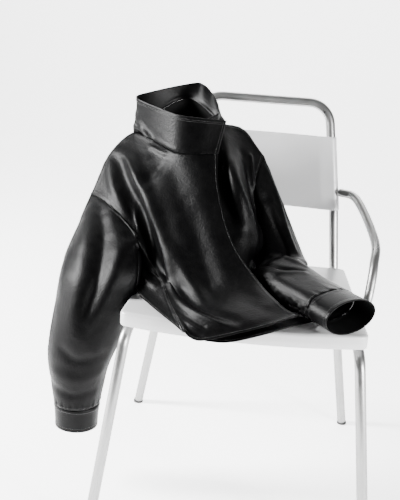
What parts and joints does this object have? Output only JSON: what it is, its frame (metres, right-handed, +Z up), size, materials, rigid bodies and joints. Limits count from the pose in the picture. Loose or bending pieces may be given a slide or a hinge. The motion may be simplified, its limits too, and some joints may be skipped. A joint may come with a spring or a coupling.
{
  "type": "leather jacket on metal chair",
  "caption": "Hollow black leather jacket with a stand collar, sitting slumped on the seat of a tubular metal armchair, one sleeve hanging past the seat and one along it.",
  "frame": {"origin": "on the floor, under the middle of the whole of jacket and chair", "axes": "+Z up; the chair faces -Y; +X is the viewer's right when looking at the chair's front"},
  "size_m": [0.7102, 0.6206, 0.8719],
  "materials": {
    "black_leather": "semi-gloss, smooth grain",
    "brushed_steel": "satin",
    "painted_sheet": "satin",
    "rubber": "matt"
  },
  "bodies": {
    "root": {"arm_left": "brushed_steel", "arm_right": "brushed_steel", "back": "black_leather", "back_frame": "brushed_steel", "back_panel": "painted_sheet", "collar_inner": "black_leather", "collar_outer": "black_leather", "foot_front_left": "rubber", "foot_front_right": "rubber", "foot_rear_left": "rubber", "foot_rear_right": "rubber", "front_leg_left": "brushed_steel", "front_leg_right": "brushed_steel", "left_cuff": "black_leather", "left_front": "black_leather", "left_sleeve_back": "black_leather", "left_sleeve_front": "black_leather", "right_cuff": "black_leather", "right_front": "black_leather", "right_sleeve_back": "black_leather", "right_sleeve_front": "black_leather", "seat": "painted_sheet"}
  },
  "joints": []
}
